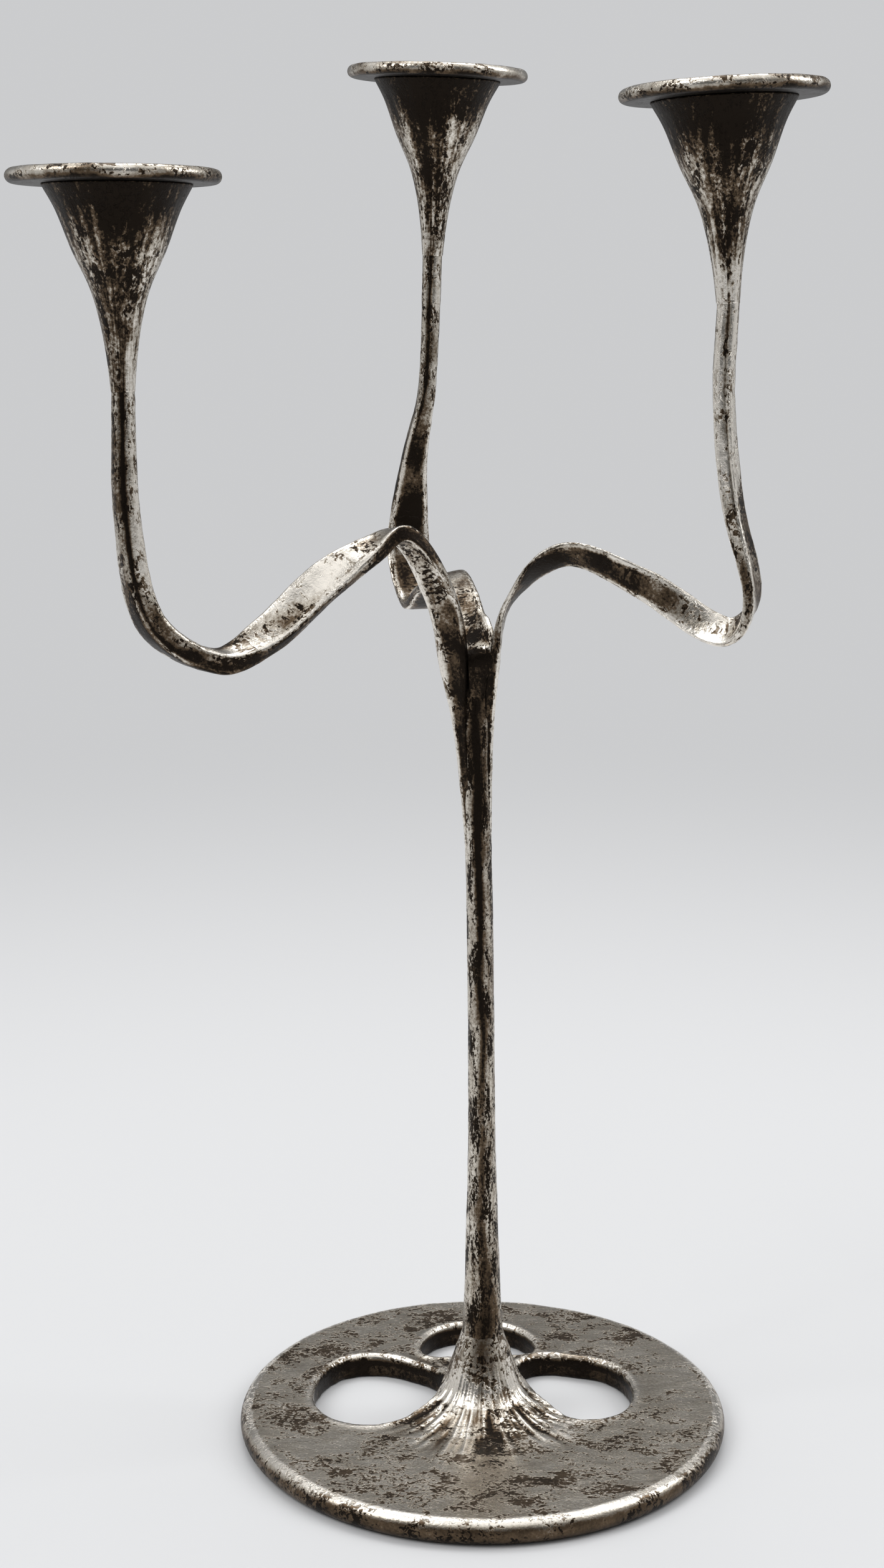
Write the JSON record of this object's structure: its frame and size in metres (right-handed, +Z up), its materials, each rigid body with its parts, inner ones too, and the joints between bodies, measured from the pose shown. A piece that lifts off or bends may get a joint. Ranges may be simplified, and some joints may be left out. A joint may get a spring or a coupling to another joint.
{
  "type": "candelabrum",
  "caption": "Tall table candelabrum: round pierced base, slim stem, twisted ribbon arms rising to trumpet cups, and flat drip pans with candle sockets that lift out.",
  "frame": {"origin": "middle of the base's flat underside, on the stem's line", "axes": "+Z up from the base to the cups; -Y towards the side seen in the picture; +X to the right of that view"},
  "size_m": [0.2853, 0.2439, 0.5518],
  "materials": {
    "cast_silver": "aged silver plate on cast bronze, polished on the high spots and dark in the hollows",
    "cup_silver": "aged silver plate on cast bronze, streaked dark patina",
    "pan_silver": "aged silver plate on bronze, polished rim",
    "socket_brass": "tarnished brass",
    "stud_steel": "plain steel"
  },
  "bodies": {
    "frame": {"base_casting": "cast_silver", "stem": "cast_silver", "stem_stud": "stud_steel", "arm_left": "cast_silver", "arm_right": "cast_silver", "arm_back": "cast_silver", "arm_stud_left": "stud_steel", "arm_stud_right": "stud_steel", "arm_stud_back": "stud_steel", "cup_left": "cup_silver", "cup_right": "cup_silver", "cup_back": "cup_silver", "cup_stud_left": "stud_steel", "cup_stud_right": "stud_steel", "cup_stud_back": "stud_steel"},
    "nozzle_left": {"drip_pan_left": "pan_silver", "candle_socket_left": "socket_brass"},
    "nozzle_right": {"drip_pan_right": "pan_silver", "candle_socket_right": "socket_brass"},
    "nozzle_back": {"drip_pan_back": "pan_silver", "candle_socket_back": "socket_brass"}
  },
  "joints": [
    {"name": "nozzle_left_lift", "type": "slide", "parent": "frame", "child": "nozzle_left", "axis": [0, 0, 1], "range_m": [0, 0.04]},
    {"name": "nozzle_right_lift", "type": "slide", "parent": "frame", "child": "nozzle_right", "axis": [-0.045, 0, 0.999], "range_m": [0, 0.04]},
    {"name": "nozzle_back_lift", "type": "slide", "parent": "frame", "child": "nozzle_back", "axis": [0.03, -0.03, 0.9991], "range_m": [0, 0.04]}
  ]
}
